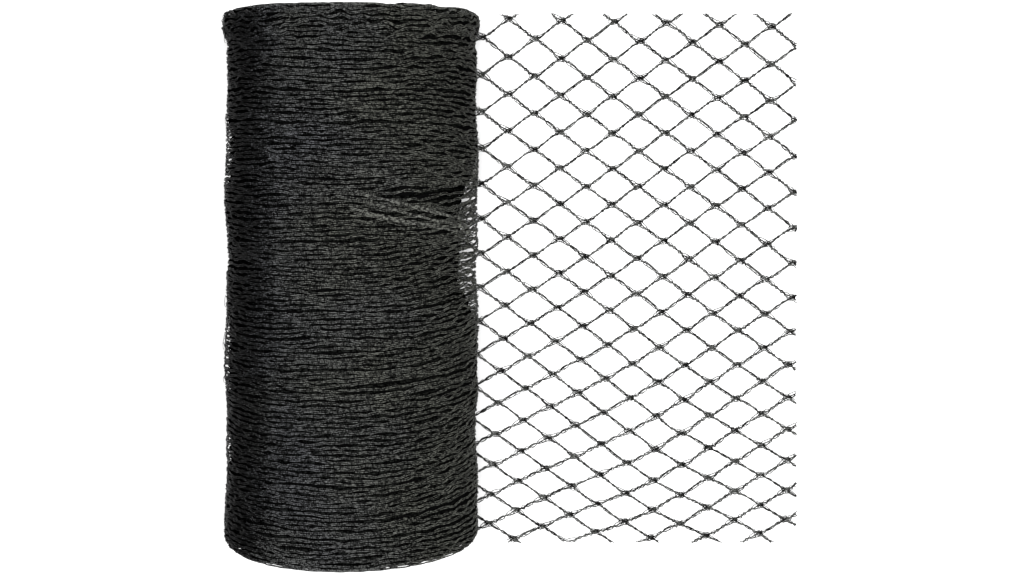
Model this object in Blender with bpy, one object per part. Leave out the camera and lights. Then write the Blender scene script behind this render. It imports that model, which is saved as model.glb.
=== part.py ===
# Bird netting: a wound roll of black knitted netting on its side, with its loose end spread on the floor.
# Metres, +Z up. The origin is on the floor under the middle of the whole piece.
# The roll's axis runs along Y and the loose end reaches out from under the roll towards +X.
import math

import bmesh
import bpy
from mathutils import Vector

# Roll
ROLL_RADIUS = 0.0745
ROLL_LENGTH = 0.3150
ROLL_X = -0.1001
ROLL_MID_Y = -0.0060
ROLL_SIDES = 48
FLAT_SPOT_HALF = 0.012
WINDING_SKEW = 0.0074  # the windings' sides sit this far towards +Y of their crest
SHOULDER = 0.007  # rounding between the wound side and each end
SHOULDER_STEPS = 3
END_DISH = 0.006  # how far the middle of an end lies inside its rim
END_RINGS = (0.24, 0.42, 0.60, 0.76, 0.90)  # rings of an end, as shares of the way from rim to middle
END_WAVE = 0.0011  # unevenness of the ends, two waves round each ring
END_TWIST = 160.0  # turn of those waves from ring to ring, in radians per metre
RELIEF_STARTS_AT = 120.0  # degrees from the crest, where the relief starts to fade
RELIEF_ENDS_AT = 150.0  # and past which the underside is plain

# Share of the roll's length from its -Y end, and how many even steps lead to the next row
ROLL_SPANS = (
    # from, steps
    (0.0, 15),
    (0.42, 20),
    (0.74, 7),
    (0.90, 7),
)

# Slow unevenness of the wound side
ROLL_SWELLS = (
    # radians per metre along the roll, phase, waves round the roll, height
    (62.0, 1.3, 2, 0.0007),
    (131.0, 0.4, 3, 0.0004),
)

# Creases and raised folds in the windings. Each follows its winding, whose place is given on the crest line.
# Angles are degrees from the crest, positive towards the loose end.
ROLL_FOLDS = (
    # y at from, y at to, angle from, angle to, half width, out
    (0.1411, 0.1430, -170.0, 170.0, 0.0085, 0.0014),  # the outermost fold, wound on proud
    (0.1300, 0.1325, -110.0, 110.0, 0.0042, -0.0018),  # groove beside it
    (0.1300, 0.1330, 24.0, 88.0, 0.0048, -0.0022),  # the groove opens towards the loose end
    (0.1110, 0.1090, 24.0, 70.0, 0.0050, -0.0010),
    (0.0420, 0.0368, 16.0, 84.0, 0.0070, -0.0038),  # loosened pocket above the crossing bundle
    (0.0475, 0.0089, 2.0, 92.0, 0.0046, 0.0026),  # bundle that crosses the other windings
    (0.0296, 0.0117, 18.0, 70.0, 0.0058, -0.0026),  # loosened pocket below it
    (0.0040, 0.0000, -84.0, -40.0, 0.0065, -0.0014),
    (-0.0320, -0.0310, -30.0, 60.0, 0.0060, 0.0007),
    (-0.0622, -0.0606, -6.0, 92.0, 0.0052, -0.0016),
    (-0.0760, -0.0750, 10.0, 92.0, 0.0060, 0.0008),
    (-0.0917, -0.0913, -4.0, 92.0, 0.0050, -0.0013),
    (-0.1093, -0.1080, -16.0, 40.0, 0.0048, -0.0011),
    (-0.1336, -0.1380, 4.0, 92.0, 0.0050, -0.0012),
)
FOLD_FADE = 0.2  # share of a fold's angle over which it comes and goes

# Loose end
NET_LEFT = -0.0761
NET_RIGHT = 0.17674
NET_HALF_WIDTH = 0.16935
NET_HALF_COLUMN = 0.0168
NET_HALF_ROW = 0.01073
NET_MIDDLE = (0.07195, -0.00943)  # place of the middle knot
NET_LEAN = -0.00043  # sideways drift of each half row
NET_BEND = -0.0015  # bend of the columns, reached at the top and bottom rows
NET_CLOSING = 0.01104  # how far the rows close up towards -Y
NET_SLOPE = -0.00058  # fall of a row for each half column
NET_ROWS = 15  # half rows on each side of the middle
NET_EXTRA = 3  # half rows and columns laid past the cut edges, then cut off
NET_COLUMNS = (-9, 7)

# Places where the mesh was pulled off its even grid when it was laid down
NET_PULLS = (
    # half column, half row, reach across, reach along, shift x, shift y
    (-5.0, 0.0, 8.0, 7.5, 0.0031, 0.0),
    (4.0, 15.0, 4.0, 7.5, 0.0047, 0.0),
    (1.0, 9.0, 4.0, 7.5, 0.0, -0.0049),
    (3.0, -7.5, 4.0, 7.5, 0.0, 0.0029),
    (1.0, 15.0, 2.0, 7.5, 0.0, -0.0036),
)
KNOT_HALF_WIDTH = 0.0029
KNOT_HALF_HEIGHT = 0.0015
KNOT_THICKNESS = 0.0020
BAR_HALF_WIDTH = 0.00075
BAR_THICKNESS = 0.0013
BAR_BOW = 0.0006
CUT_MERGE = 0.000001  # a corner this near a cut edge lies on it

NETTING_COLOUR = (0.019, 0.020, 0.018)
NETTING_ROUGHNESS = 0.42
LAID_BRIGHTNESS = 0.7  # a single layer on a pale floor looks darker than the wound one


def clear_scene():
    for thing in list(bpy.data.objects):
        bpy.data.objects.remove(thing, do_unlink=True)


def netting_material(name, brightness):
    material = bpy.data.materials.new(name)
    material.use_nodes = True
    shader = material.node_tree.nodes["Principled BSDF"]
    shader.inputs["Base Color"].default_value = [channel * brightness for channel in NETTING_COLOUR] + [1.0]
    shader.inputs["Roughness"].default_value = NETTING_ROUGHNESS
    shader.inputs["Metallic"].default_value = 0.0
    return material


def smooth(low, high, value):
    share = min(1.0, max(0.0, (value - low) / (high - low)))
    return share * share * (3.0 - 2.0 * share)


def skew(turn):
    """How far the windings lean towards +Y at this angle from the crest."""
    return WINDING_SKEW * (1.0 - math.cos(min(abs(turn), math.pi / 2)))


def fold_relief(crest_y, turn):
    """How far the folds raise or sink a winding, from its place on the crest line and its angle."""
    degrees = math.degrees(turn)
    out = 0.0
    for start, end, first, last, half_width, height in ROLL_FOLDS:
        share = min(1.0, max(0.0, (degrees - first) / (last - first)))
        middle = start + (end - start) * share
        fade = FOLD_FADE * (last - first)
        begun = smooth(first - fade, first + fade, degrees)
        ended = smooth(last - fade, last + fade, degrees)
        away = (crest_y - middle) / half_width
        out += height * begun * (1.0 - ended) * math.exp(-away * away)
    return out


def roll_radius(crest_y, turn):
    """Radius of the wound side. Its underside is plain, where the roll rests."""
    relief = fold_relief(crest_y, turn)
    for rate, phase, waves, height in ROLL_SWELLS:
        relief += height * math.sin(rate * crest_y + phase + waves * turn)
    plain = smooth(RELIEF_ENDS_AT, RELIEF_STARTS_AT, abs(math.degrees(turn)))
    return ROLL_RADIUS + plain * relief


def roll_axis_height():
    return math.sqrt(ROLL_RADIUS**2 - FLAT_SPOT_HALF**2)


def roll_ring(bm, crest_y, inset=0.0, offset=0.0, wave=0.0):
    """One ring of points round the roll. Inset shortens its radius and offset moves it along the axis."""
    ring = []
    for step in range(ROLL_SIDES):
        turn = 2.0 * math.pi * step / ROLL_SIDES
        turn = turn if turn <= math.pi else turn - 2.0 * math.pi
        radius = roll_radius(crest_y, turn) - inset
        x = ROLL_X + radius * math.sin(turn)
        y = crest_y + offset + skew(turn) * radius / ROLL_RADIUS
        y += wave * math.sin(2.0 * turn + END_TWIST * inset)
        z = roll_axis_height() + radius * math.cos(turn)
        ring.append(bm.verts.new((x, y, max(0.0, z))))
    return ring


def span_places():
    """Crest places of the wound side's rings, from its -Y end to its +Y end."""
    start_y = ROLL_MID_Y - ROLL_LENGTH / 2 + SHOULDER
    ends = [row[0] for row in ROLL_SPANS[1:]] + [1.0]
    places = []
    for (start, steps), end in zip(ROLL_SPANS, ends):
        places += [start + (end - start) * step / steps for step in range(steps)]
    places.append(1.0)
    return [start_y + (ROLL_LENGTH - 2 * SHOULDER) * place for place in places]


def end_profile():
    """Rings of one end, from its shoulder to its middle: inset from the side, reach past it, unevenness."""
    rows = []
    for step in range(1, SHOULDER_STEPS + 1):
        angle = math.pi / 2 * step / SHOULDER_STEPS
        rows.append((SHOULDER * (1.0 - math.cos(angle)), SHOULDER * math.sin(angle), 0.0))
    for share in END_RINGS:
        dish = END_DISH * smooth(SHOULDER / ROLL_RADIUS, 1.0, share)
        rows.append((ROLL_RADIUS * share, SHOULDER - dish, END_WAVE))
    return rows


def bridge(bm, first, second):
    count = len(first)
    for step in range(count):
        following = (step + 1) % count
        bm.faces.new((first[step], first[following], second[following], second[step]))


def close_end(bm, rim, crest_y, way):
    """Rounds the shoulder and closes one end with a shallow, uneven dish."""
    last = rim
    for inset, reach, wave in end_profile():
        ring = roll_ring(bm, crest_y, inset, way * reach, wave)
        bridge(bm, last, ring)
        last = ring
    pole = bm.verts.new(sum((vert.co for vert in last), Vector()) / len(last))
    for step in range(len(last)):
        bm.faces.new((last[step], last[(step + 1) % len(last)], pole))


def make_roll():
    bm = bmesh.new()
    places = span_places()
    rings = [roll_ring(bm, crest_y) for crest_y in places]
    for first, second in zip(rings, rings[1:]):
        bridge(bm, first, second)
    close_end(bm, rings[0], places[0], -1)
    close_end(bm, rings[-1], places[-1], 1)
    bmesh.ops.recalc_face_normals(bm, faces=bm.faces)
    return finish_object(bm, "netting_roll", netting_material("wound_netting", 1.0))


def knot_place(column, row):
    """Place on the floor of the knot at this half column and half row from the middle one."""
    share = row / NET_ROWS
    x = NET_MIDDLE[0] + NET_HALF_COLUMN * column + NET_LEAN * row + NET_BEND * share * share
    y = NET_MIDDLE[1] - NET_HALF_ROW * row + NET_CLOSING * share * share + NET_SLOPE * column
    for middle_column, middle_row, across, along, shift_x, shift_y in NET_PULLS:
        away = ((column - middle_column) / across) ** 2 + ((row - middle_row) / along) ** 2
        x += shift_x * math.exp(-away)
        y += shift_y * math.exp(-away)
    return Vector((x, y, 0.0))


def add_knots(bm):
    """A flat diamond at each knot, wider than tall. Each knot's corners are kept by name."""
    knots = {}
    columns = range(NET_COLUMNS[0] - NET_EXTRA, NET_COLUMNS[1] + NET_EXTRA + 1)
    rows = range(-NET_ROWS - NET_EXTRA, NET_ROWS + NET_EXTRA + 1)
    for row in rows:
        for column in columns:
            if (column + row) % 2 == 1:
                continue
            middle = knot_place(column, row)
            corners = {
                "left": bm.verts.new(middle - Vector((KNOT_HALF_WIDTH, 0, 0))),
                "near": bm.verts.new(middle - Vector((0, KNOT_HALF_HEIGHT, 0))),
                "right": bm.verts.new(middle + Vector((KNOT_HALF_WIDTH, 0, 0))),
                "far": bm.verts.new(middle + Vector((0, KNOT_HALF_HEIGHT, 0))),
            }
            bm.faces.new((corners["left"], corners["near"], corners["right"], corners["far"]))
            knots[column, row] = corners
    return knots


def add_bar(bm, upper, lower, side):
    """A bar from a knot to the next one nearer to -Y, on its right (side 1) or left (side -1)."""
    outer, inner = ("right", "left") if side > 0 else ("left", "right")
    start = (upper[outer], upper["near"])
    end = (lower["far"], lower[inner])
    start_middle = (start[0].co + start[1].co) / 2
    end_middle = (end[0].co + end[1].co) / 2
    run = (end_middle - start_middle).normalized()
    across = Vector((run.y, -run.x, 0.0)) * -side
    middle = (start_middle + end_middle) / 2 + across * BAR_BOW
    waist = (bm.verts.new(middle + across * BAR_HALF_WIDTH), bm.verts.new(middle - across * BAR_HALF_WIDTH))
    bm.faces.new((start[0], start[1], waist[1], waist[0]))
    bm.faces.new((waist[0], waist[1], end[1], end[0]))


def cut_edges(bm):
    """Cuts the flat mesh straight along the four edges of the laid piece."""
    cuts = (
        ((NET_LEFT, 0, 0), (-1, 0, 0)),
        ((NET_RIGHT, 0, 0), (1, 0, 0)),
        ((0, -NET_HALF_WIDTH, 0), (0, -1, 0)),
        ((0, NET_HALF_WIDTH, 0), (0, 1, 0)),
    )
    for place, outward in cuts:
        everything = bm.verts[:] + bm.edges[:] + bm.faces[:]
        bmesh.ops.bisect_plane(
            bm, geom=everything, dist=CUT_MERGE, plane_co=place, plane_no=outward, clear_outer=True
        )


def keep_largest_island(bm):
    """Deletes the cut-off tips that hang on to nothing."""
    waiting = set(bm.verts)
    islands = []
    while waiting:
        reached = [waiting.pop()]
        island = list(reached)
        while reached:
            vert = reached.pop()
            for edge in vert.link_edges:
                other = edge.other_vert(vert)
                if other in waiting:
                    waiting.remove(other)
                    reached.append(other)
                    island.append(other)
        islands.append(island)
    islands.sort(key=len)
    for island in islands[:-1]:
        bmesh.ops.delete(bm, geom=island, context="VERTS")


def thickness_at(place, knot_middles):
    """Knots stand higher than the bars between them."""
    nearest = min((place - middle).length for middle in knot_middles)
    share = smooth(KNOT_HALF_WIDTH, KNOT_HALF_WIDTH * 2, nearest)
    return KNOT_THICKNESS + (BAR_THICKNESS - KNOT_THICKNESS) * share


def make_loose_net():
    bm = bmesh.new()
    knots = add_knots(bm)
    for (column, row), upper in knots.items():
        for side in (-1, 1):
            lower = knots.get((column + side, row + 1))
            if lower:
                add_bar(bm, upper, lower, side)
    cut_edges(bm)
    keep_largest_island(bm)
    middles = [knot_place(column, row) for column, row in knots]
    raised = bmesh.ops.extrude_face_region(bm, geom=bm.faces[:])["geom"]
    for vert in (item for item in raised if isinstance(item, bmesh.types.BMVert)):
        vert.co.z = thickness_at(Vector((vert.co.x, vert.co.y, 0.0)), middles)
    bmesh.ops.recalc_face_normals(bm, faces=bm.faces)
    return finish_object(bm, "loose_net", netting_material("laid_netting", LAID_BRIGHTNESS))


def finish_object(bm, name, material):
    mesh = bpy.data.meshes.new(name)
    bm.to_mesh(mesh)
    bm.free()
    mesh.materials.append(material)
    mesh.shade_smooth()
    mesh.set_sharp_from_angle(angle=math.radians(40))
    thing = bpy.data.objects.new(name, mesh)
    bpy.context.scene.collection.objects.link(thing)
    return thing


clear_scene()
make_roll()
make_loose_net()
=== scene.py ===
import math
import bpy
import numpy as np
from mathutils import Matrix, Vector
from mathutils.bvhtree import BVHTree


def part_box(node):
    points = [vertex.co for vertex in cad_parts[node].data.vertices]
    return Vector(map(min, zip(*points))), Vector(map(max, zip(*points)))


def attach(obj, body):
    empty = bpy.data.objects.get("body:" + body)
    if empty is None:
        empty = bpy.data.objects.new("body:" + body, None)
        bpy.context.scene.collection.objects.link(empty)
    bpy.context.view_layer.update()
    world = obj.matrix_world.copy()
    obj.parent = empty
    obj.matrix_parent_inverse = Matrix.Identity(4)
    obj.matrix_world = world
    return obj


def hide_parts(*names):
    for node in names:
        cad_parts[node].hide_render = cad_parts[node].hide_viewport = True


# Knitted bird netting: a wound roll on its side, its loose end spread flat on a pale floor.
# Metres, +Z up. The roll's axis runs along Y, and the loose end reaches out to +X.
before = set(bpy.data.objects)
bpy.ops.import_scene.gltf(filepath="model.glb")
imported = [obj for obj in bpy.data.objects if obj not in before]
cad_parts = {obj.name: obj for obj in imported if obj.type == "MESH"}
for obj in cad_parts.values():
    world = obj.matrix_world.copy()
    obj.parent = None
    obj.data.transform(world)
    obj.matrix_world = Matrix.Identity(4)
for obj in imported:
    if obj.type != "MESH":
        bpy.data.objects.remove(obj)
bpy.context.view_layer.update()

mm = 0.001
fullTurn = 2 * math.pi
clearance = 0.1 * mm  # kept above the floor and under the solid's skin

# Roll, as wound: the axis line, and how far the windings' sides sit towards +Y of their crest
roll = {
    "axisX": -0.1001,
    "axisZ": 0.0735,
    "crestFrom": -0.1633,
    "crestTo": 0.1513,
    "skew": 0.0074,
    "radius": 0.0745,
    "shoulder": 0.007,
    "surveyTurns": 97,  # rays round the roll and along it that measure its solid
    "surveyRows": 162,
    "beyondEnds": 0.25,  # rays on the ends start this far out
}


# Helpers

# sRGB hex to linear RGBA
def toLinear(hexText):
    channels = [int(hexText[i:i + 2], 16) / 255 for i in (0, 2, 4)]
    return [c / 12.92 if c <= 0.04045 else ((c + 0.055) / 1.055) ** 2.4 for c in channels] + [1.0]


def addNode(tree, kind, inputs=None, links=None, **settings):
    node = tree.nodes.new(kind)
    for name, value in settings.items():
        setattr(node, name, value)
    for socket, value in (inputs or {}).items():
        node.inputs[socket].default_value = value
    for socket, source in (links or {}).items():
        tree.links.new(source, node.inputs[socket])
    return node


def newMaterial(name):
    material = bpy.data.materials.new(name)
    material.use_nodes = True
    tree = material.node_tree
    return material, tree, tree.nodes["Principled BSDF"]


def smoothStep(low, high, value):
    share = np.clip((value - low) / (high - low), 0, 1)
    return share * share * (3 - 2 * share)


# 0 outside the first and last of four places, 1 between the second and third
def plateau(places, value):
    return smoothStep(places[0], places[1], value) * (1 - smoothStep(places[2], places[3], value))


# A smooth uneven field over the roll's surface that closes on itself, about 1 high. Waves are the fewest
# and most round the roll, rates the least and most along it in radians a metre.
def makeDrift(seed, waves, rates, terms=7):
    rng = np.random.default_rng(seed)
    around = rng.integers(waves[0], waves[1] + 1, terms)
    along = rng.uniform(rates[0], rates[1], terms) * rng.choice([-1, 1], terms)
    phase = rng.uniform(0, fullTurn, terms)

    def drift(turn, y):
        total = 0
        for n, k, p in zip(around, along, phase):
            total = total + np.cos(n * turn + k * y + p)
        return total / math.sqrt(terms / 2)
    return drift


# Step and range of the places where threads start in the pattern of stitches, in millimetres
uvSpread = (7.31, 50)


# Corner points, faces and UV of threads. A run is (points, normals, half width, half height)
def tubes(runs, sides, closed):
    allPoints, allFaces, allUv = [], [], []
    base = 0
    for points, normals, halfWidth, halfHeight in runs:
        count = len(points)
        if closed:
            tangents = np.roll(points, -1, 0) - np.roll(points, 1, 0)
        else:
            tangents = np.gradient(points, axis=0)
        tangents /= np.linalg.norm(tangents, axis=1, keepdims=True)
        across = np.cross(tangents, normals)
        across /= np.linalg.norm(across, axis=1, keepdims=True)
        up = np.cross(across, tangents)
        angle = fullTurn * np.arange(sides) / sides + math.pi / 2
        width = np.broadcast_to(halfWidth, (count,))[:, None, None]
        height = np.broadcast_to(halfHeight, (count,))[:, None, None]
        ring = (points[:, None, :] + across[:, None, :] * np.cos(angle)[None, :, None] * width
                + up[:, None, :] * np.sin(angle)[None, :, None] * height)
        allPoints.append(ring.reshape(-1, 3))

        length = np.concatenate([[0], np.cumsum(np.linalg.norm(np.diff(points, axis=0), axis=1))])
        step = np.arange(count if closed else count - 1)
        following = (step + 1) % count
        side = np.arange(sides)
        nextSide = (side + 1) % sides
        a = base + step[:, None] * sides + side[None, :]
        b = base + step[:, None] * sides + nextSide[None, :]
        c = base + following[:, None] * sides + nextSide[None, :]
        d = base + following[:, None] * sides + side[None, :]
        allFaces.append(np.stack([a, d, c, b], -1).reshape(-1, 4))
        begin = (uvSpread[0] * len(allUv)) % uvSpread[1]
        u0 = begin + length[step] / mm
        u1 = np.where(following == 0, u0 + length[1] / mm, begin + length[following] / mm)
        v0 = side / sides
        v1 = (side + 1) / sides
        uv = np.empty((len(step), sides, 4, 2))
        uv[..., 0, 0] = u0[:, None]
        uv[..., 1, 0] = u1[:, None]
        uv[..., 2, 0] = u1[:, None]
        uv[..., 3, 0] = u0[:, None]
        uv[..., 0, 1] = v0[None, :]
        uv[..., 1, 1] = v0[None, :]
        uv[..., 2, 1] = v1[None, :]
        uv[..., 3, 1] = v1[None, :]
        allUv.append(uv.reshape(-1, 2))
        base += count * sides
    return np.concatenate(allPoints), np.concatenate(allFaces), np.concatenate(allUv)


# One object of many threads. Open threads get an end face each
def threadPiece(name, runs, material, sides, closed):
    points, faces, uv = tubes(runs, sides, closed)
    loops = [faces.reshape(-1)]
    starts = list(range(0, faces.size, 4))
    totals = [4] * len(faces)
    if not closed:
        base = 0
        for run in runs:
            count = len(run[0])
            last = base + (count - 1) * sides
            loops.append(np.arange(base, base + sides))
            loops.append(np.arange(last, last + sides)[::-1])
            base += count * sides
        starts += [faces.size + sides * i for i in range(2 * len(runs))]
        totals += [sides] * (2 * len(runs))
        uv = np.concatenate([uv, np.zeros((2 * len(runs) * sides, 2))])
    loops = np.concatenate(loops)
    mesh = bpy.data.meshes.new(name)
    mesh.vertices.add(len(points))
    mesh.vertices.foreach_set("co", points.astype(np.float32).reshape(-1))
    mesh.loops.add(len(loops))
    mesh.loops.foreach_set("vertex_index", loops.astype(np.int32))
    mesh.polygons.add(len(totals))
    mesh.polygons.foreach_set("loop_start", np.array(starts, np.int32))
    mesh.polygons.foreach_set("loop_total", np.array(totals, np.int32))
    layer = mesh.uv_layers.new(name="threadLength")
    layer.data.foreach_set("uv", uv.astype(np.float32).reshape(-1))
    mesh.update(calc_edges=True)
    mesh.shade_smooth()
    mesh.materials.append(material)
    piece = bpy.data.objects.new(name, mesh)
    bpy.context.scene.collection.objects.link(piece)
    print(name, "triangles:", sum(t - 2 for t in totals))
    return piece


# Camera, straight above as in the photograph

camera = {
    "place": (-0.0063, -0.00605, 1.04),
    "lens": 57.37,
    "sensor": 36.0,
}


def makeCamera():
    data = bpy.data.cameras.new("topCamera")
    data.lens = camera["lens"]
    data.sensor_width = camera["sensor"]
    data.clip_start = 0.01
    thing = bpy.data.objects.new("topCamera", data)
    thing.location = camera["place"]
    bpy.context.scene.collection.objects.link(thing)
    bpy.context.scene.camera = thing


# Floor and light

studio = {
    "floorSize": 8.0,
    "floorColour": "bcbcbc",
    "floorRoughness": 0.9,
    "floorShine": 0.1,
    "worldStrength": 0.10,
    "keyPower": 124.0,
    "keySize": (0.22, 0.9),  # narrow across the roll, long beside it
    "keyPlace": (0.05, 0.0, 2.0),
    "fillPower": 7.0,
    "fillSize": (1.2, 1.2),
    "fillPlace": (1.6, 0.0, 0.9),
}


def addLamp(name, power, size, place):
    data = bpy.data.lights.new(name, "AREA")
    data.shape = "RECTANGLE"
    data.energy = power
    data.size, data.size_y = size
    lamp = bpy.data.objects.new(name, data)
    lamp.location = place
    lamp.rotation_mode = "QUATERNION"
    lamp.rotation_quaternion = Vector(place).to_track_quat("Z", "Y")
    bpy.context.scene.collection.objects.link(lamp)


def makeStudio():
    bpy.ops.object.select_all(action="DESELECT")
    bpy.ops.mesh.primitive_plane_add(size=studio["floorSize"], location=(0, 0, 0))
    floor = bpy.context.object
    floor.name = "paleFloor"
    # matt grey-white paint on a smooth floor: no gloss, so the net lies on an even pale ground
    material, tree, shader = newMaterial("paintedFloor")
    shader.inputs["Base Color"].default_value = toLinear(studio["floorColour"])
    shader.inputs["Roughness"].default_value = studio["floorRoughness"]
    shader.inputs["Specular IOR Level"].default_value = studio["floorShine"]
    floor.data.materials.append(material)

    world = bpy.data.worlds.new("softWorld")
    bpy.context.scene.world = world
    world.use_nodes = True
    back = world.node_tree.nodes["Background"]
    back.inputs["Color"].default_value = (1, 1, 1, 1)
    back.inputs["Strength"].default_value = studio["worldStrength"]
    addLamp("overheadKey", studio["keyPower"], studio["keySize"], studio["keyPlace"])
    addLamp("rightFill", studio["fillPower"], studio["fillSize"], studio["fillPlace"])
    bpy.context.scene.view_settings.view_transform = "Standard"


# Materials

# What all threads share. The looks of each kind are further down
pattern = {
    "ior": 1.5,
    "bumpDepth": 0.4 * mm,
    # cloudy patterns: kind, size in millimetres (the speckle's is in the looks), detail and roughness
    "clouds": (("uneven", 4.2, 1.0, 0.5), ("speckle", None, 2.0, 0.6), ("cloud", 5.3, 2.0, 0.5),
               ("patch", 45, 3.0, 0.5)),
    "lean": 9.0,
    "shake": 9.0,
    # shares of the patterns in the whole, and the part of the whole that shows
    "grain": {"From Min": 0.43, "From Max": 0.59},
    "chainShare": 0.28,
    "dashShare": 1.6,
    "cloudShare": 1.4,
    "shown": {"From Min": 1.58, "From Max": 2.42},
    # painted shade on the upper left flank, full at the lower X and the higher Z, and how much darker it is
    "paintedShadeX": {"From Min": -0.1600, "From Max": -0.1360, "To Min": -0.90, "To Max": 0.0},
    "paintedShadeZ": {"From Min": 0.040, "From Max": 0.070},
    # bluish to olive from left to right
    "castSlope": -5.0,  # a metre
    "cast": {"From Min": 0.82, "From Max": 1.26},
}


# Dyed black polyethylene, drawn into filaments and knitted as a chain. The eye sees a dull waxy black,
# with grey flecks on each stitch that are painted glints of its filaments, and darker places where the
# thread turns under, which are painted shade.
def makeNettingMaterial(name, look):
    material, tree, shader = newMaterial(name)
    place = addNode(tree, "ShaderNodeUVMap", uv_map="threadLength")
    split = addNode(tree, "ShaderNodeSeparateXYZ", links={"Vector": place.outputs["UV"]})
    spot = addNode(tree, "ShaderNodeTexCoord")
    sides = addNode(tree, "ShaderNodeSeparateXYZ", links={"Vector": spot.outputs["Object"]})
    clouds = {}
    for kind, size, detail, roughness in pattern["clouds"]:
        scale = 1 / ((size or look["speckle"]) * mm)
        clouds[kind] = addNode(tree, "ShaderNodeTexNoise",
                               {"Scale": scale, "Detail": detail, "Roughness": roughness},
                               {"Vector": spot.outputs["Object"]}).outputs["Fac"]
    # loops of the chain, shaken so that no two are alike. Their darker halves are painted shade
    # where the thread turns under
    along = addNode(tree, "ShaderNodeMath", {1: fullTurn / look["stitch"]}, {0: split.outputs["X"]},
                    operation="MULTIPLY")
    fromTop = addNode(tree, "ShaderNodeMath", {1: 0.5}, {0: split.outputs["Y"]}, operation="PINGPONG")
    lean = addNode(tree, "ShaderNodeMath", {1: pattern["lean"]},
                   {0: fromTop.outputs[0], 2: along.outputs[0]}, operation="MULTIPLY_ADD")
    shaken = addNode(tree, "ShaderNodeMath", {1: pattern["shake"]},
                     {0: clouds["uneven"], 2: lean.outputs[0]}, operation="MULTIPLY_ADD")
    chain = addNode(tree, "ShaderNodeMath", None, {0: shaken.outputs[0]}, operation="SINE")
    # dashes along the thread
    dashAt = addNode(tree, "ShaderNodeMath", {1: 1 / look["dash"]}, {0: split.outputs["X"]},
                     operation="MULTIPLY")
    dash = addNode(tree, "ShaderNodeTexNoise", {"Scale": 1.0, "Detail": 1.0}, {"W": dashAt.outputs[0]},
                   noise_dimensions="1D")
    # fine fuzz with painted glints, loops with painted shade, dashes and broad clouds make the whole
    grain = addNode(tree, "ShaderNodeMapRange", pattern["grain"], {"Value": clouds["speckle"]})
    total = grain.outputs["Result"]
    for share, source in (("chainShare", chain.outputs[0]), ("dashShare", dash.outputs["Fac"]),
                          ("cloudShare", clouds["cloud"])):
        total = addNode(tree, "ShaderNodeMath", {1: pattern[share]}, {0: source, 2: total},
                        operation="MULTIPLY_ADD").outputs[0]
    # painted shade: the colour of the upper left flank is darkened, so it shows darker
    flank = addNode(tree, "ShaderNodeMapRange", pattern["paintedShadeX"], {"Value": sides.outputs["X"]})
    high = addNode(tree, "ShaderNodeMapRange", pattern["paintedShadeZ"], {"Value": sides.outputs["Z"]})
    total = addNode(tree, "ShaderNodeMath", None,
                    {0: flank.outputs["Result"], 1: high.outputs["Result"], 2: total},
                    operation="MULTIPLY_ADD").outputs[0]
    lift = addNode(tree, "ShaderNodeMapRange", pattern["shown"], {"Value": total}).outputs["Result"]
    # the black is bluish towards the left and olive towards the right
    leftwards = addNode(tree, "ShaderNodeMath", {1: pattern["castSlope"]},
                        {0: sides.outputs["X"], 2: clouds["patch"]}, operation="MULTIPLY_ADD")
    where = addNode(tree, "ShaderNodeMapRange", pattern["cast"], {"Value": leftwards.outputs[0]})
    light = addNode(tree, "ShaderNodeMix", {"A": toLinear(look["olive"]), "B": toLinear(look["blue"])},
                    {"Factor": where.outputs["Result"]}, data_type="RGBA")
    colour = addNode(tree, "ShaderNodeMix", {"A": toLinear(look["dark"])},
                     {"Factor": lift, "B": light.outputs["Result"]}, data_type="RGBA")
    bumps = addNode(tree, "ShaderNodeBump", {"Strength": look["bump"], "Distance": pattern["bumpDepth"]},
                    {"Height": lift})
    tree.links.new(colour.outputs["Result"], shader.inputs["Base Color"])
    tree.links.new(bumps.outputs["Normal"], shader.inputs["Normal"])
    shader.inputs["Roughness"].default_value = look["roughness"]
    shader.inputs["IOR"].default_value = pattern["ior"]
    shader.inputs["Specular IOR Level"].default_value = look["shine"]
    return material


# The same thread in five places: the outermost windings, flecked with painted glints and catching the
# light; the few that cross them; the ones beneath, coloured darker as painted shade; the loose end, where
# each thread lies alone; and its knots, coloured darker as painted shade where more threads shade each
# other. Stitch, dash and speckle are lengths in millimetres. The speckle of painted glints is coarser than
# the real glints, so that it shows.
threadLooks = {
    "wound": {"olive": "4b4c47", "blue": "48494b", "dark": "070707", "stitch": 1.3, "dash": 2.6,
              "speckle": 1.0, "bump": 0.9, "roughness": 0.42, "shine": 0.04},
    "crossing": {"olive": "52534e", "blue": "505153", "dark": "131312", "stitch": 1.3, "dash": 6.0,
                 "speckle": 1.7, "bump": 0.5, "roughness": 0.42, "shine": 0.04},
    # darker than the wound look: painted shade of the layers beneath
    "inner": {"olive": "121311", "blue": "111212", "dark": "010101", "stitch": 1.5, "dash": 3.0,
              "speckle": 1.3, "bump": 0.8, "roughness": 0.6, "shine": 0.0},
    "laid": {"olive": "444543", "blue": "434445", "dark": "080808", "stitch": 1.6, "dash": 2.6,
             "speckle": 3.3, "bump": 0.3, "roughness": 0.5, "shine": 0.04},
    # darker than the laid look: painted shade where the knot's threads crowd
    "knotted": {"olive": "1a1b19", "blue": "191a1b", "dark": "050505", "stitch": 1.6, "dash": 3.5,
                "speckle": 3.3, "bump": 0.3, "roughness": 0.5, "shine": 0.03},
}


coreLook = {
    # near black: painted shade of the deep layers, darker than the thread's own colour
    "low": "010101",
    "high": "070707",
    "ridges": (25 * mm, 2.4 * mm, 25 * mm),  # long round the roll, narrow along it
    "detail": 4.0,
    "bump": 0.8,
    "bumpDepth": 1.0 * mm,
    "roughness": 0.8,
    "shine": 0.0,
}
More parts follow.
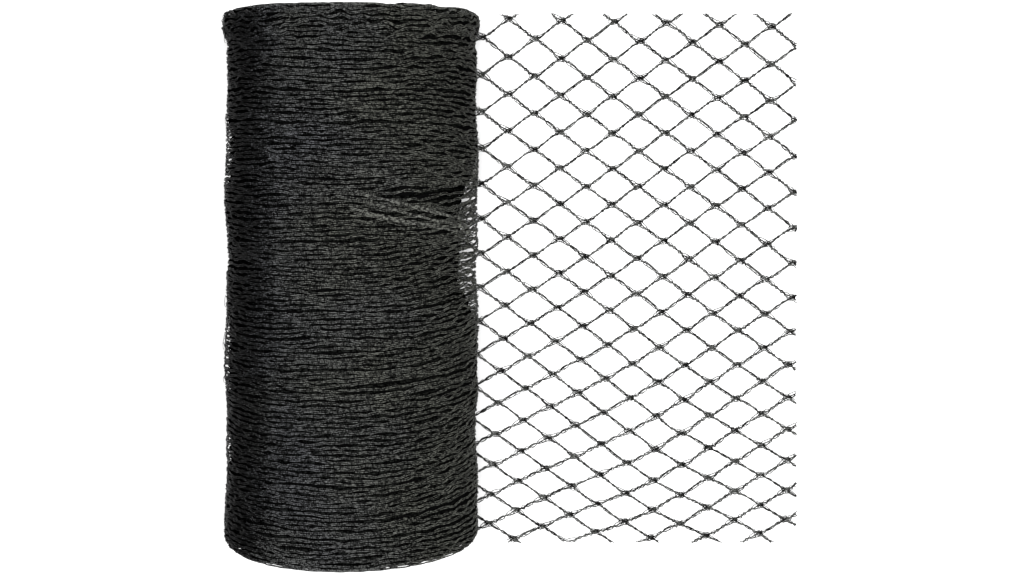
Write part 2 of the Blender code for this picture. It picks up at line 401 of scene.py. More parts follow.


# Many packed layers of the same thread, seen only through gaps. The eye sees near black, faintly ridged.
# The near black, darker than the thread's own colour, is painted shade.
def makeCoreMaterial():
    material, tree, shader = newMaterial("deepKnittedLayers")
    spot = addNode(tree, "ShaderNodeTexCoord")
    stretch = addNode(tree, "ShaderNodeMapping", {"Scale": [1 / size for size in coreLook["ridges"]]},
                      {"Vector": spot.outputs["Object"]})
    ridges = addNode(tree, "ShaderNodeTexNoise", {"Scale": 1.0, "Detail": coreLook["detail"]},
                     {"Vector": stretch.outputs["Vector"]})
    colour = addNode(tree, "ShaderNodeMix",
                     {"A": toLinear(coreLook["low"]), "B": toLinear(coreLook["high"])},
                     {"Factor": ridges.outputs["Fac"]}, data_type="RGBA")
    bumps = addNode(tree, "ShaderNodeBump",
                    {"Strength": coreLook["bump"], "Distance": coreLook["bumpDepth"]},
                    {"Height": ridges.outputs["Fac"]})
    tree.links.new(colour.outputs["Result"], shader.inputs["Base Color"])
    tree.links.new(bumps.outputs["Normal"], shader.inputs["Normal"])
    shader.inputs["Roughness"].default_value = coreLook["roughness"]
    shader.inputs["Specular IOR Level"].default_value = coreLook["shine"]
    return material


# The roll's own surface, measured on its solid

# How far the windings sit towards +Y of their crest at an angle
def skewAt(turn):
    turn = np.abs(wrap(turn))
    return roll["skew"] * (1 - np.cos(np.minimum(turn, math.pi / 2)))


# The solid as a tree for rays, and its radius over angles and places on the crest line
def surveyRoll():
    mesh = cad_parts["netting_roll"].data
    corners = [v.co.copy() for v in mesh.vertices]
    tree = BVHTree.FromPolygons(corners, [p.vertices[:] for p in mesh.polygons])
    turns = np.linspace(0, fullTurn, roll["surveyTurns"])
    rows = np.linspace(roll["crestFrom"], roll["crestTo"], roll["surveyRows"])
    grid = np.full((len(turns), len(rows)), roll["radius"] - roll["shoulder"])
    for i, turn in enumerate(turns):
        ray = Vector((math.sin(turn), 0, math.cos(turn)))
        lean = float(skewAt(np.array(turn)))
        for j, crestY in enumerate(rows):
            axis = Vector((roll["axisX"], crestY + lean, roll["axisZ"]))
            hit = tree.ray_cast(axis + ray * roll["radius"] * 2, -ray)
            if hit[0]:
                grid[i, j] = (hit[0] - axis).length
    return {"tree": tree, "rows": rows, "grid": grid}


# The radius of the solid at an angle and a place on its crest line
def radiusAt(surface, turn, crestY):
    grid, rows = surface["grid"], surface["rows"]
    a = (turn % fullTurn) / fullTurn * (grid.shape[0] - 1)
    b = np.clip((crestY - rows[0]) / (rows[-1] - rows[0]), 0, 1) * (grid.shape[1] - 1)
    i = np.minimum(a.astype(int), grid.shape[0] - 2)
    j = np.minimum(b.astype(int), grid.shape[1] - 2)
    a = a - i
    b = b - j
    near = grid[i, j] * (1 - b) + grid[i, j + 1] * b
    far = grid[i + 1, j] * (1 - b) + grid[i + 1, j + 1] * b
    return near * (1 - a) + far * a


# Y of the solid's end at an angle and a radius. Way is -1 for the -Y end and 1 for the +Y end
def endY(surface, turn, radius, way):
    out = []
    for t, r in zip(turn, radius):
        x, z = roll["axisX"] + r * math.sin(t), roll["axisZ"] + r * math.cos(t)
        start = Vector((x, way * roll["beyondEnds"], z))
        hit = surface["tree"].ray_cast(start, Vector((0, -way, 0)))
        out.append(hit[0][1] if hit[0] is not None else np.nan)
    return np.array(out)


# An angle brought between minus and plus half a turn
def wrap(turn):
    return (turn + math.pi) % fullTurn - math.pi


# Where the windings have come loose, so that the layers beneath fall back and the floor shows through
looseSpots = (
    # angle, crest y, reach in angle, reach along, depth
    (math.radians(92), 0.0140, math.radians(32), 0.040, 0.0135),
    (math.radians(-90), 0.066, math.radians(16), 0.018, 0.0048),
    (math.radians(-90), -0.055, math.radians(16), 0.020, 0.0056),
    (math.radians(-90), -0.105, math.radians(16), 0.009, 0.0056),
)


# How much of a loose spot there is at a place, 0 to 1
def heldBy(spot, turn, crestY):
    middle, place, reach, along = spot[:4]
    return np.exp(-(wrap(turn - middle) / reach) ** 4 - ((crestY - place) / along) ** 4)


# How far the deeper layers fall back from the surface, in metres
def looseness(turn, crestY):
    return sum(spot[4] * heldBy(spot, turn, crestY) for spot in looseSpots)


# Points and outward normals on the roll, that far under its surface
def rollPoints(surface, turn, crestY, inset):
    y = crestY + skewAt(turn)
    radius = radiusAt(surface, turn, crestY) - inset
    out = np.stack([np.sin(turn), np.zeros_like(turn), np.cos(turn)], -1)
    points = out * radius[:, None]
    points[:, 0] += roll["axisX"]
    points[:, 1] = y
    points[:, 2] += roll["axisZ"]
    return points, out


core = {
    "crestInset": 0.0046,
    "sideInset": 0.0007,
    "endInset": 0.0030,
    "endZone": (0.146, 0.156),  # distances from the middle between which the ends start to be drawn in
    "wholeFrom": 0.05,  # nearer the axis than this the inset shrinks
    "weld": 0.01 * mm,
}


# The mass of the roll under its outer threads: the solid's own form, drawn in
def makeCore(surface, material):
    bpy.ops.object.select_all(action="DESELECT")
    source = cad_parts["netting_roll"]
    piece = bpy.data.objects.new("woundLayers", source.data.copy())
    bpy.context.scene.collection.objects.link(piece)
    piece.data.materials.clear()
    piece.data.materials.append(material)
    piece.select_set(True)
    bpy.context.view_layer.objects.active = piece
    bpy.ops.object.mode_set(mode="EDIT")
    bpy.ops.mesh.select_all(action="SELECT")
    bpy.ops.mesh.remove_doubles(threshold=core["weld"])
    bpy.ops.mesh.subdivide(number_cuts=1)
    bpy.ops.object.mode_set(mode="OBJECT")
    low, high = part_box("netting_roll")
    middleY = (low[1] + high[1]) / 2
    for vert in piece.data.vertices:
        x, y, z = vert.co
        dx = x - roll["axisX"]
        dz = z - roll["axisZ"]
        radius = math.hypot(dx, dz)
        turn = math.atan2(dx, dz)
        crestY = y - float(skewAt(np.array(turn)))
        crestShare = max(0.0, math.cos(turn))
        drawn = core["sideInset"] + (core["crestInset"] - core["sideInset"]) * crestShare
        drawn += float(looseness(turn, crestY))
        keep = max(0.0, radius - drawn * min(1.0, radius / core["wholeFrom"])) / max(radius, 1e-6)
        inward = core["endInset"] * smoothStep(*core["endZone"], abs(y - middleY))
        inward = inward if y < middleY else -inward
        vert.co = (roll["axisX"] + dx * keep, y + inward, roll["axisZ"] + dz * keep)
    piece.data.shade_smooth()
    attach(piece, "root")
    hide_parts("netting_roll")


# Threads round the roll. Each runs right round, to and fro between the knots that tie it to the next ones.
windings = {
    "topReach": math.radians(100),
    "topSteps": 190,
    "underSteps": 34,
    "plainSteps": 120,
    "waves": ((0.5, 7, 14), (0.7, 16, 26), (0.6, 28, 44), (0.22, 60, 85)),
    "outerPitch": 0.00245,
    "outerInset": 0.0007,
    "sideRise": 0.4,  # share of the rise that stays at the sides
    "fullness": (1.12, 0.2),  # thickness where tight, and how much of it goes where open
    "unevenPitch": 0.00042,
    "evenSwing": 0.00026,
    "openSwing": 0.00050,
    "slowDrift": 0.0006,
    "quickDrift": 0.00030,
    "rise": 0.00042,
    "halfWidth": 0.00078,
    "halfHeight": 0.00050,
    "filament": 0.00043,
    "plyApart": 0.00043,
    "plyWander": 0.00011,
    "plyHeight": 0.00022,
    "plyWaves": ((0.7, 18, 34), (0.8, 40, 66), (0.5, 70, 92)),
    "band": (0.1335 - 0.006, 0.1335 + 0.006),  # the proud fold at the +Y end starts between these
    "bandSwing": 0.15,
    "pulled": 0.0055,
    "drawn": 0.0042,
    "rimClear": 0.0026,
    "bandCurl": 0.0005,
}
windingLayers = (
    # name, pitch, inset where tight, inset where open, tilt, seed, share of the loose fall-back
    ("secondWindings", 0.00255, 0.0015, 0.0031, 0.0018, 23, 0.75),
    ("thirdWindings", 0.00275, 0.0028, 0.0042, -0.0022, 37, 0.9),
)
# Openness round the roll: tight on the left of the crest, open on the right
openPlaces = (-3.15, -1.45, -1.05, -0.75, -0.45, 0.0, 0.35, 0.60, 1.0, 1.5, 3.15)
openShares = (0.50, 0.60, 0.70, 0.40, 0.15, 0.30, 0.50, 0.80, 0.95, 0.8, 0.50)
openDrift = 0.22  # how much that varies from place to place
openMost = 1.2


# How open the weave is at a place, 0 where tight
def openness(turn, crestY, drift):
    turn = wrap(turn)
    return np.clip(np.interp(turn, openPlaces, openShares) + openDrift * drift(turn, crestY), 0.0, openMost)


# Pockets where the outer threads have been pushed apart
pockets = (
    # crest y at from, at to, angle from, angle to, half width, push
    (0.0435, 0.0412, math.radians(22), math.radians(74), 0.0048, 0.0048),
    (0.0470, 0.0466, math.radians(20), math.radians(38), 0.0026, 0.0018),
    (0.0345, 0.0310, math.radians(20), math.radians(56), 0.0036, 0.0034),
    (0.0245, 0.0215, math.radians(34), math.radians(64), 0.0034, 0.0034),
    (0.1300, 0.1318, math.radians(30), math.radians(82), 0.0034, 0.0028),
    (0.0040, 0.0000, math.radians(-84), math.radians(-45), 0.0050, 0.0030),
    (-0.0622, -0.0606, math.radians(0), math.radians(80), 0.0030, 0.0026),
    (-0.1336, -0.1375, math.radians(4), math.radians(80), 0.0030, 0.0022),
)


pushing = {
    "pocketFade": 0.12,  # radians over which a pocket opens and closes at its tips
    # over a loose spot the threads cling together in twos, with gaps between
    "pairing": 0.0006,
    "pairPitch": 0.0049,
    "pairSway": 2.2,
    "pairWaves": 9,
}


# How far the pockets and loose spots move the threads along the roll
def pushApart(turn, crest):
    turn = wrap(turn)
    total = 0
    pair = np.sin(fullTurn * (crest - roll["crestFrom"]) / pushing["pairPitch"]
                  + pushing["pairSway"] * np.sin(pushing["pairWaves"] * turn))
    for spot in looseSpots:
        total = total + pushing["pairing"] * heldBy(spot, turn, crest) * pair
    fade = pushing["pocketFade"]
    for start, end, first, last, halfWidth, push in pockets:
        share = np.clip((turn - first) / (last - first), 0, 1)
        away = (crest - (start + (end - start) * share)) / halfWidth
        window = plateau((first - fade, first + fade, last - fade, last + fade), turn)
        total = total + push * away * np.exp(-away * away) * window
    return total


# Where the right flank's threads are drawn towards the crossing bundle: angles, then crest y on its -Y side
# and on its +Y side
drawnFlank = (0.1, 1.5, 1.7, 3.0)
drawnFromBelow = (-0.160, -0.130, 0.010, 0.060)
drawnFromAbove = (0.048, 0.066, 0.078, 0.118)


# A wave that closes on itself round the roll. Waves are (share, fewest and most to a turn)
def waver(turn, waves, rng):
    total = 0
    for share, low, high in waves:
        count = int(rng.integers(low, high + 1))
        total = total + share * np.sin(count * turn + rng.uniform(0, fullTurn))
    return total


# Crest place, openness and height of one thread at each angle. It wavers on its own between its knots
def windingLine(number, pitch, turn, fields, tilt, rng, finest):
    crest = roll["crestFrom"] + number * pitch + rng.uniform(-1, 1) * windings["unevenPitch"]
    wide = openness(turn, crest, fields["open"])
    wave = waver(turn, windings["waves"][:finest], rng)
    swing = windings["evenSwing"] + (windings["openSwing"] - windings["evenSwing"]) * wide
    bandFrom, bandTo = windings["band"]
    band = smoothStep(bandFrom, bandTo, crest)
    y = crest + swing * wave * (1 + windings["bandSwing"] * band) + tilt * np.sin(turn)
    y = y + windings["slowDrift"] * fields["slow"](turn, crest)
    y = y + windings["quickDrift"] * fields["quick"](turn, crest)
    y = y + windings["bandCurl"] * band * fields["curl"](turn, crest) + pushApart(turn, crest)
    around = plateau(drawnFlank, wrap(turn))
    y = y + windings["pulled"] * around * plateau(drawnFromBelow, crest)
    y = y - windings["drawn"] * around * plateau(drawnFromAbove, crest)
    return np.clip(y, roll["crestFrom"], roll["crestTo"]), wide, fields["height"](turn, crest)


# Uneven fields that a layer's threads share: seed, waves, rates and number of terms
windingDrifts = {
    "open": (0, (1, 5), (40, 160), 7),
    "slow": (2, (1, 4), (20, 110), 7),
    "quick": (3, (5, 14), (180, 520), 7),
    "curl": (4, (16, 44), (120, 330), 9),
    "height": (5, (18, 52), (300, 1300), 9),
}


def windingFields(seed):
    return {name: makeDrift(seed + row[0], *row[1:]) for name, row in windingDrifts.items()}


# A piece of threads, parented to the root body, with the solid it stands in for hidden
def finishPiece(name, runs, material, node, sides, closed=False):
    piece = threadPiece(name, runs, material, sides, closed)
    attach(piece, "root")
    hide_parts(node)
    return piece


# The outer threads, each of two filaments that waver beside each other
def makeOuterWindings(surface, material):
    reach = windings["topReach"]
    turn = np.concatenate([np.linspace(-reach, reach, windings["topSteps"], endpoint=False),
                           np.linspace(reach, fullTurn - reach, windings["underSteps"], endpoint=False)])
    fields = windingFields(11)
    rng = np.random.default_rng(3)
    sideRise = windings["sideRise"]
    fullness, slimmer = windings["fullness"]
    pitch = windings["outerPitch"]
    count = int((roll["crestTo"] - roll["crestFrom"]) / pitch) + 1
    groups = {"nearOuterWindings": [], "farOuterWindings": []}
    for number in range(count):
        y, wide, lift = windingLine(number, pitch, turn, fields, 0.0, rng, 4)
        flank = np.cos(turn) ** 2
        for way in (-1, 1):
            deep = windings["outerInset"] - windings["rise"] * lift * (sideRise + (1 - sideRise) * flank)
            deep = deep + windings["plyHeight"] * waver(turn, windings["plyWaves"], rng)
            wander = windings["plyWander"] * waver(turn, windings["plyWaves"], rng)
            beside = np.clip(y + way * windings["plyApart"] + wander, roll["crestFrom"], roll["crestTo"])
            points, normals = rollPoints(surface, turn, beside, np.maximum(deep, clearance))
            points[:, 2] = np.maximum(points[:, 2], windings["filament"] + clearance)
            half = windings["filament"] * (fullness - slimmer * wide)
            group = "nearOuterWindings" if number < count / 2 else "farOuterWindings"
            groups[group].append((points, normals, half, half))
    for name, runs in groups.items():
        finishPiece(name, runs, material, "netting_roll", 3, closed=True)


# A layer beneath: plain threads, a little flattened
def makeInnerWindings(surface, material, row):
    name, pitch, tightInset, openInset, tilt, seed, falling = row
    turn = np.arange(windings["plainSteps"]) * fullTurn / windings["plainSteps"]
    fields = windingFields(seed)
    rng = np.random.default_rng(seed)
    runs = []
    for number in range(int((roll["crestTo"] - roll["crestFrom"]) / pitch) + 1):
        y, wide, lift = windingLine(number, pitch, turn, fields, tilt, rng, 2)
        y = np.maximum(y, roll["crestFrom"] + windings["rimClear"])
        flank = np.cos(turn) ** 2
        deep = tightInset + (openInset - tightInset) * wide * flank - windings["rise"] * lift
        deep = deep + falling * looseness(turn, y)
        points, normals = rollPoints(surface, turn, y, np.maximum(deep, 2 * clearance))
        points[:, 2] = np.maximum(points[:, 2], windings["halfHeight"] + clearance)
        runs.append((points, normals, windings["halfWidth"], windings["halfHeight"]))
    finishPiece(name, runs, material, "netting_roll", 4, closed=True)


# Threads that crossed the others when the roll was wound
bundle = {
    "lines": (
        # angle in degrees and crest y along each thread
        ((4, 0.0463), (10, 0.0443), (26, 0.0405), (36, 0.0353), (53, 0.0317), (68, 0.0296)),
        ((4, 0.0380), (21, 0.0323), (31, 0.0288), (46, 0.0263), (59, 0.0249), (74, 0.0236)),
        ((6, 0.0352), (22, 0.0306), (36, 0.0279), (48, 0.0244), (61, 0.0219), (76, 0.0186)),
        ((6, 0.0420), (20, 0.0378), (33, 0.0327), (45, 0.0286), (60, 0.0262), (72, 0.0246)),
        ((12, 0.0432), (26, 0.0404), (34, 0.0380), (43, 0.0349), (49, 0.0329), (66, 0.0284)),
    ),
    "sway": 0.00013,
    "swayWaves": ((0.6, 16, 30), (0.5, 50, 90)),
    "heave": 0.0002,
    "heaveWaves": ((1.0, 30, 60),),
    "shown": (0.0, 0.16, 0.86, 1.0),  # shares of its length where a thread comes up and goes down again
    "proud": 0.0011,
    "sunk": 0.0022,
    "steps": 90,
    "filament": 0.00034,
    "apart": 0.00034,
}


# Each line is a smooth curve through its places, of two filaments side by side
def makeBundle(surface, material):
    rng = np.random.default_rng(19)
    runs = []
    for line in bundle["lines"]:
        angles = np.radians([place[0] for place in line])
        turn = np.linspace(angles[0], angles[-1], bundle["steps"])
        crest = np.polyval(np.polyfit(angles, [place[1] for place in line], 3), turn)
        share = (turn - angles[0]) / (angles[-1] - angles[0])
        up = plateau(bundle["shown"], share)
        for way in (-1, 1):
            sway = bundle["sway"] * waver(turn, bundle["swayWaves"], rng)
            deep = bundle["sunk"] - (bundle["sunk"] + bundle["proud"]) * up
            deep = deep + bundle["heave"] * waver(turn, bundle["heaveWaves"], rng)
            points, normals = rollPoints(surface, turn, crest + way * bundle["apart"] + sway, deep)
            runs.append((points, normals, bundle["filament"], bundle["filament"]))
    finishPiece("crossingBundle", runs, material, "netting_roll", 4)


# Fine filaments that stand off the threads
strays = {
    "count": 150,
    "halfWidth": 0.00016,
    "steps": 12,
    "angles": (-1.5, 1.5),
    "bandEvery": 3,  # every third lies on the proud fold
    "onBand": (0.130, 0.149),
    "onRoll": (-0.158, 0.148),
    "reach": (0.04, 0.12),  # radians
    "bow": 0.0016,
    "slant": 0.002,
    "lift": (0.0003, 0.0007),
    "curls": ((9.9, 0.1345), (34.4, 0.1360)),  # angle in degrees and crest y of two slack curls
    "curlSize": (0.0026, 0.0021),
    "curlBend": (0.9 * math.pi, 1.75 * math.pi),
    "curlLift": 0.0007,
    "curlThicker": 1.6,
}


# Short bows near the surface, and the two slack curls that stand up
def makeStrays(surface, material):
    rng = np.random.default_rng(29)
    runs = []
    for number in range(strays["count"]):
        middle = rng.uniform(*strays["angles"])
        crest = rng.uniform(*strays["onBand" if number % strays["bandEvery"] == 0 else "onRoll"])
        length = rng.uniform(*strays["reach"])
        share = np.linspace(-1, 1, strays["steps"])
        turn = middle + length * share
        bow = rng.normal(0, strays["bow"])
        y = crest + rng.normal(0, strays["slant"]) * share + bow * (1 - share * share)
        y = np.clip(y, roll["crestFrom"], roll["crestTo"])
        lift = strays["lift"][0] + rng.uniform(0, strays["lift"][1]) * (1 - share * share)
        points, normals = rollPoints(surface, turn, y, -lift)
        runs.append((points, normals, strays["halfWidth"], strays["halfWidth"]))
    for angle, crest in strays["curls"]:
        bend = np.linspace(*strays["curlBend"], strays["steps"])
        turn = math.radians(angle) + strays["curlSize"][0] * np.cos(bend) / roll["radius"]
        y = crest + strays["curlSize"][1] * np.sin(bend)
        points, normals = rollPoints(surface, turn, y, np.full(len(bend), -strays["curlLift"]))
        half = strays["curlThicker"] * strays["halfWidth"]
        runs.append((points, normals, half, half))
    finishPiece("strayFilaments", runs, material, "netting_roll", 3)


# Threads over the ends: the edges of the wound net, spiralling in to the middle
ends = {
    "pitch": 0.0021,
    "inner": 0.003,
    "outer": {-1: 0.0652, 1: 0.0695},  # the near rim is thinner, so that light shows through it
    "step": 0.0038,
    "halfWidth": 0.00075,
    "halfHeight": 0.0005,
    "driftWaves": (1, 5),
    "driftRates": (60, 300),
    "liftWaves": (3, 13),
    "liftRates": (300, 900),
    "shake": 6,
    "calmWithin": 0.02,  # nearer the middle than this the swing shrinks
    "drift": 0.0011,
    "heave": 0.0007,
    "leastInset": 0.0003,
    "leastHeight": 0.0008,
}
endThreads = (
    # inset, swing, waves each turn, start angle, seed
    (0.0004, 0.0010, 9, 0.0, 51),
    (0.0014, 0.0013, 7, 2.1, 57),
    (0.0026, 0.0012, 11, 4.2, 63),
)


# Three threads that spiral in over an end. Way is -1 for the -Y end and 1 for the +Y end
def makeEnd(surface, material, name, way):
    runs = []
    outer = ends["outer"][way]
    for inset, swing, waves, startAngle, seed in endThreads:
        # steps of even length along the spiral
        squares = outer ** 2 - ends["inner"] ** 2
        share = np.linspace(0, 1, int(math.pi * squares / ends["pitch"] / ends["step"]))
        radius = np.sqrt(outer ** 2 - share * squares)
        turn = startAngle + way * (outer - radius) / ends["pitch"] * fullTurn
        drift = makeDrift(seed, ends["driftWaves"], ends["driftRates"])
        lift = makeDrift(seed + 1, ends["liftWaves"], ends["liftRates"])
        calm = np.minimum(1, radius / ends["calmWithin"])
        radius = radius + swing * np.sin(waves * turn + ends["shake"] * drift(turn, radius)) * calm
        radius = np.clip(radius + ends["drift"] * drift(turn, radius), ends["inner"], outer)
        deep = np.maximum(inset + ends["heave"] * lift(turn, radius), ends["leastInset"])
        y = endY(surface, turn, radius, way) - way * deep
        points = np.stack([roll["axisX"] + radius * np.sin(turn), y,
                           roll["axisZ"] + radius * np.cos(turn)], -1)
        points = points[~np.isnan(y)]
        points[:, 2] = np.maximum(points[:, 2], ends["leastHeight"])
        normals = np.tile([0.0, float(way), 0.0], (len(points), 1))
        runs.append((points, normals, ends["halfWidth"], ends["halfHeight"]))
    finishPiece(name, runs, material, "netting_roll", 4)


# Loose end. Its knots lie where the solid's do, and its threads run along X from knot to knot.
looseNet = {
    "left": -0.0761,
    "right": 0.17674,
    "halfWidth": 0.16935,
    "halfColumn": 0.0168,
    "halfRow": 0.01073,
    "middle": (0.07195, -0.00943),
    "lean": -0.00043,
    "bend": -0.0015,
    "closing": 0.01104,
    "slope": -0.00058,
    "rows": 15,
    "columns": (-11, 9),
    "knotReach": 0.0012,
    "knotRise": 0.00060,
    "knotBow": 0.0003,
    "knotDrift": 0.00012,
    "lift": 0.0007,
    "barSteps": 9,
    "barBow": 0.0004,
    "curved": (0.06, 0.34),  # how much a bar bends, going down and going up
    "margin": 0.0003,  # kept clear of the cut at the sides
}
netPulls = (
    # half column, half row, reach across, reach along, shift x, shift y
    (-5.0, 0.0, 8.0, 7.5, 0.0031, 0.0),
    (4.0, 15.0, 4.0, 7.5, 0.0047, 0.0),
    (1.0, 9.0, 4.0, 7.5, 0.0, -0.0049),
    (3.0, -7.5, 4.0, 7.5, 0.0, 0.0029),
    (1.0, 15.0, 2.0, 7.5, 0.0, -0.0036),
)


# X and Y of a knot, counted in half columns and half rows from the middle
def knotPlace(column, row):
    share = row / looseNet["rows"]
    x = looseNet["middle"][0] + looseNet["halfColumn"] * column + looseNet["lean"] * row
    x += looseNet["bend"] * share * share
    y = looseNet["middle"][1] - looseNet["halfRow"] * row + looseNet["closing"] * share * share
    y += looseNet["slope"] * column
    for middleColumn, middleRow, across, along, shiftX, shiftY in netPulls:
        away = ((column - middleColumn) / across) ** 2 + ((row - middleRow) / along) ** 2
        x += shiftX * math.exp(-away)
        y += shiftY * math.exp(-away)
    return np.array((x, y))


# The middle line of one strand, how far along it each point is, and how far from the nearest knot
def strandLine(row, spacing, rng):
    line, knotStarts = [], []
    fromTo = range(looseNet["columns"][0], looseNet["columns"][1] + 1)
    for column in fromTo:
        upper = (column + row) % 2 == 0
        knot = knotPlace(column, row if upper else row + 1)
        side = -1 if upper else 1
        knot = knot + np.array((0, side * looseNet["knotRise"])) + rng.normal(0, looseNet["knotDrift"], 2)
        reach = looseNet["knotReach"]
        knotStarts.append(len(line))
        for share in (-1.0, -0.33, 0.33, 1.0):
            bent = looseNet["knotBow"] * (share * share - 1)
            line.append((knot[0] + share * reach, knot[1] + side * bent))
        if column < fromTo[-1]:
            after = knotPlace(column + 1, row + 1 if upper else row)
            start = np.array(line[-1])
            end = after + np.array((-reach, -side * looseNet["knotRise"]))
            bow = rng.normal(0, looseNet["barBow"])
            curved = looseNet["curved"][0 if upper else 1]
            for share in np.linspace(0, 1, looseNet["barSteps"])[1:-1]:
                eased = (1 - curved) * share + curved * (share * share * (3 - 2 * share))
                x = start[0] + (end[0] - start[0]) * share
                y = start[1] + (end[1] - start[1]) * eased + bow * math.sin(math.pi * share)
                line.append((x, y))
    line = np.array(line)
    length = np.concatenate([[0], np.cumsum(np.linalg.norm(np.diff(line, axis=0), axis=1))])
    even = np.arange(0, length[-1], spacing)
    middles = np.array([(length[i + 1] + length[i + 2]) / 2 for i in knotStarts])
    away = np.abs(even[:, None] - middles[None, :]).min(1)
    points = np.stack([np.interp(even, length, line[:, 0]), np.interp(even, length, line[:, 1])], -1)
    return points, even, away


# Splits a line where it leaves the cut rectangle
def insideRuns(points):
    inside = ((points[:, 0] > looseNet["left"]) & (points[:, 0] < looseNet["right"])
              & (np.abs(points[:, 1]) < looseNet["halfWidth"] - looseNet["margin"]))
    runs, start = [], None
    for i, now in enumerate(inside):
        if now and start is None:
            start = i
        if start is not None and (not now or i == len(inside) - 1):
            if i - start > 3:
                runs.append(slice(start, i))
            start = None
    return runs


netThreads = (
    # offset mid bar, offset beside a knot, beats against the others, half width, spacing, phase
    (0.00032, 0.00036, 1.60, 0.00045, 0.0015, 0.5),
    (0.00098, 0.00185, 1.0, 0.00027, 0.0015, 0.0),
    (0.00090, 0.00165, 1.0, 0.00027, 0.0015, math.pi),
    (0.00090, 0.00120, 2.1, 0.00024, 0.0015, 1.1),
)
netChain = {
    "loopReach": 0.0052,  # how far from a knot its slack loops reach along a bar
    "beatLength": 0.0116,
    "shakes": ((1.1, 560), (0.6, 170)),  # share and radians a metre
    "ripple": 0.0004,
    "rippleWaves": (2, 9),
    "rippleRates": (20, 90),
    "rippleReach": 20,
    "crossing": 0.00035,  # height over which threads cross
    # going down the threads open in one half of the net, going up in the other
    "spread": (0.88, 0.16),
    "downSlope": 3,
    "halfSlope": (0.05, 0.6),
}


# Each strand is a knitted chain: one firm thread, and three thin filaments that cross over it in long loops
def makeNetStrands(material):
    rng = np.random.default_rng(5)
    runs = []
    ripple = makeDrift(71, netChain["rippleWaves"], netChain["rippleRates"])
    firstShake, secondShake = netChain["shakes"]
    for row in range(-looseNet["rows"] - 2, looseNet["rows"] + 3):
        seed = int(rng.integers(1, 10 ** 6))
        phase = rng.uniform(0, fullTurn)
        for midBar, besideKnot, beats, half, spacing, turned in netThreads:
            line, along, away = strandLine(row, spacing, np.random.default_rng(seed))
            offset = midBar + (besideKnot - midBar) * np.exp(-(away / netChain["loopReach"]) ** 2)
            tangent = np.gradient(line, axis=0)
            tangent /= np.linalg.norm(tangent, axis=1, keepdims=True)
            across = np.stack([-tangent[:, 1], tangent[:, 0]], -1)
            down = np.clip(-tangent[:, 1] * netChain["downSlope"], -1, 1)
            farHalf = np.clip(line[:, 1] / netChain["halfSlope"][0] + netChain["halfSlope"][1], -1, 1)
            spread = netChain["spread"][0] + netChain["spread"][1] * down * farHalf
            beat = fullTurn * away * beats / netChain["beatLength"] + turned
            shake = firstShake[0] * np.sin(along * firstShake[1] + phase)
            shake = shake + secondShake[0] * np.sin(along * secondShake[1] + seed)
            flat = line + across * (offset * np.sin(beat + shake) * spread)[:, None]
            z = looseNet["lift"] + netChain["crossing"] * np.cos(beat) + netChain["ripple"]
            z = z + netChain["ripple"] * ripple(line[:, 0] * netChain["rippleReach"], line[:, 1])
            points = np.concatenate([flat, np.maximum(z, half + clearance)[:, None]], 1)
            for part in insideRuns(points):
                run = points[part]
                normals = np.tile([0.0, 0.0, 1.0], (len(run), 1))
                runs.append((run, normals, half, half))
    return finishPiece("laidStrands", runs, material, "loose_net", 3)


knots = {
    "drift": 0.0002,
    "margins": (0.003, 0.001, 0.0018),  # from the cut on the left, past it on the right, and at the sides
    # middle and half size of each
    "loops": (
        (-0.0010, 0.0006, 0.0026, 0.0012),
        (-0.0005, -0.0007, 0.0023, 0.0011),
        (0.0006, 0.0, 0.0017, 0.0016),
    ),
    "loopStart": 0.3,
    "loopStartDrift": 0.4,
    "loopSizes": (0.75, 1.2),
    "loopLean": 0.3,
    "loopHeight": (0.0012, 0.0005),  # middle, and how far it rises and falls
    "loopSteps": 13,
    "coil": 0.00046,  # radius of the tight coil
    "coilTurns": 2.5,
    "coilReach": 0.0010,
    "coilHalfLength": 0.0007,
    "coilWider": 1.35,
    "coilHeight": 0.0011,
    "coilSteps": 16,
    "coilStart": 6,
    "filament": 0.00030,
    "loopFilament": 0.00021,
    "tilt": 0.05,  # so that no thread's normal lies along it
}


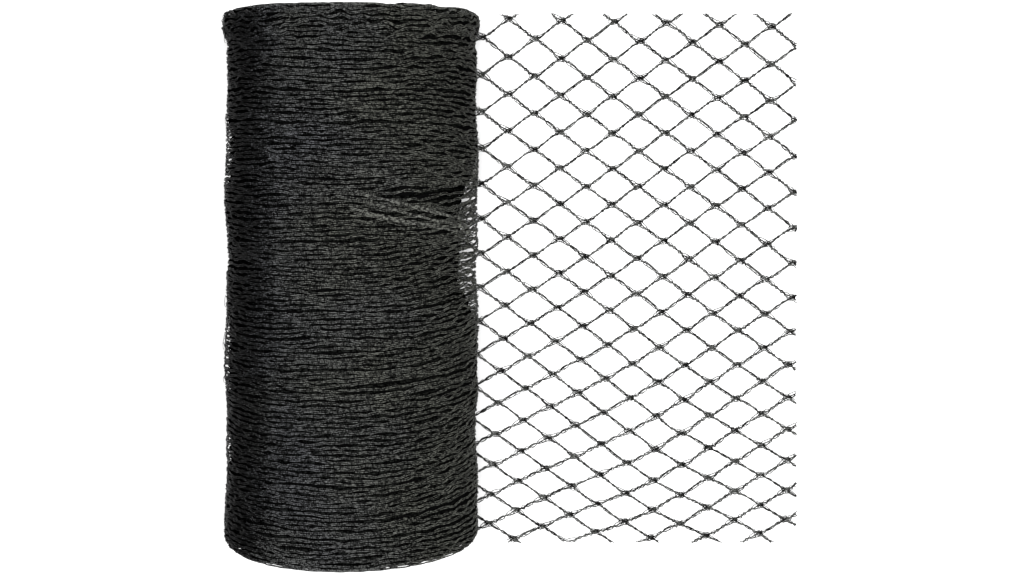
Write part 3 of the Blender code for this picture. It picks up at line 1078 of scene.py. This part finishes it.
# Each knot: slack loops of filament, mostly on its left, and a tight coil at its right end
def makeKnots(material):
    rng = np.random.default_rng(8)
    runs = []
    fromLeft, pastRight, fromSide = knots["margins"]
    height, rise = knots["loopHeight"]
    for row in range(-looseNet["rows"] - 2, looseNet["rows"] + 3):
        for column in range(looseNet["columns"][0], looseNet["columns"][1] + 1):
            if (column + row) % 2:
                continue
            place = knotPlace(column, row) + rng.normal(0, knots["drift"], 2)
            if not (looseNet["left"] + fromLeft < place[0] < looseNet["right"] + pastRight):
                continue
            if abs(place[1]) > looseNet["halfWidth"] - fromSide:
                continue
            lines = []
            for middleX, middleY, halfLength, halfBreadth in knots["loops"]:
                angle = np.linspace(knots["loopStart"], fullTurn + knots["loopStart"], knots["loopSteps"])
                angle = angle + rng.uniform(-knots["loopStartDrift"], knots["loopStartDrift"])
                size = rng.uniform(*knots["loopSizes"], 2)
                lean = rng.normal(0, knots["loopLean"])
                x = halfLength * size[0] * np.cos(angle)
                y = halfBreadth * size[1] * np.sin(angle)
                lines.append(np.stack([place[0] + middleX + x * math.cos(lean) - y * math.sin(lean),
                                       place[1] + middleY + x * math.sin(lean) + y * math.cos(lean),
                                       height + rise * np.sin(angle + lean)], -1))
            # coil, upright round the threads
            angle = np.linspace(0, fullTurn * knots["coilTurns"], knots["coilSteps"])
            angle = angle + rng.uniform(0, knots["coilStart"])
            x = np.linspace(-knots["coilHalfLength"], knots["coilHalfLength"], knots["coilSteps"])
            coil = np.stack([place[0] + knots["coilReach"] + x,
                             place[1] + knots["coil"] * knots["coilWider"] * np.cos(angle),
                             knots["coilHeight"] + knots["coil"] * np.sin(angle)], -1)
            for line in lines + [coil]:
                half = knots["filament"] if line is coil else knots["loopFilament"]
                line = line[line[:, 0] < looseNet["right"]]
                if len(line) > 3:
                    normals = np.tile([knots["tilt"], 0.0, 1.0], (len(line), 1))
                    runs.append((line, normals, half, half))
    return finishPiece("laidKnots", runs, material, "loose_net", 3)


print("camera and studio")
makeCamera()
makeStudio()
print("materials")
woundThread = makeNettingMaterial("woundPolyethyleneThread", threadLooks["wound"])
crossingThread = makeNettingMaterial("crossingPolyethyleneThread", threadLooks["crossing"])
deepThread = makeNettingMaterial("innerPolyethyleneThread", threadLooks["inner"])
laidThread = makeNettingMaterial("laidPolyethyleneThread", threadLooks["laid"])
knottedThread = makeNettingMaterial("knottedPolyethyleneThread", threadLooks["knotted"])
deepLayers = makeCoreMaterial()
print("roll")
surface = surveyRoll()
makeCore(surface, deepLayers)
makeOuterWindings(surface, woundThread)
for row in windingLayers:
    makeInnerWindings(surface, deepThread, row)
makeBundle(surface, crossingThread)
makeStrays(surface, woundThread)
makeEnd(surface, woundThread, "nearEndWindings", -1)
makeEnd(surface, woundThread, "farEndWindings", 1)
print("loose end")
strands = makeNetStrands(laidThread)
knotLoops = makeKnots(knottedThread)
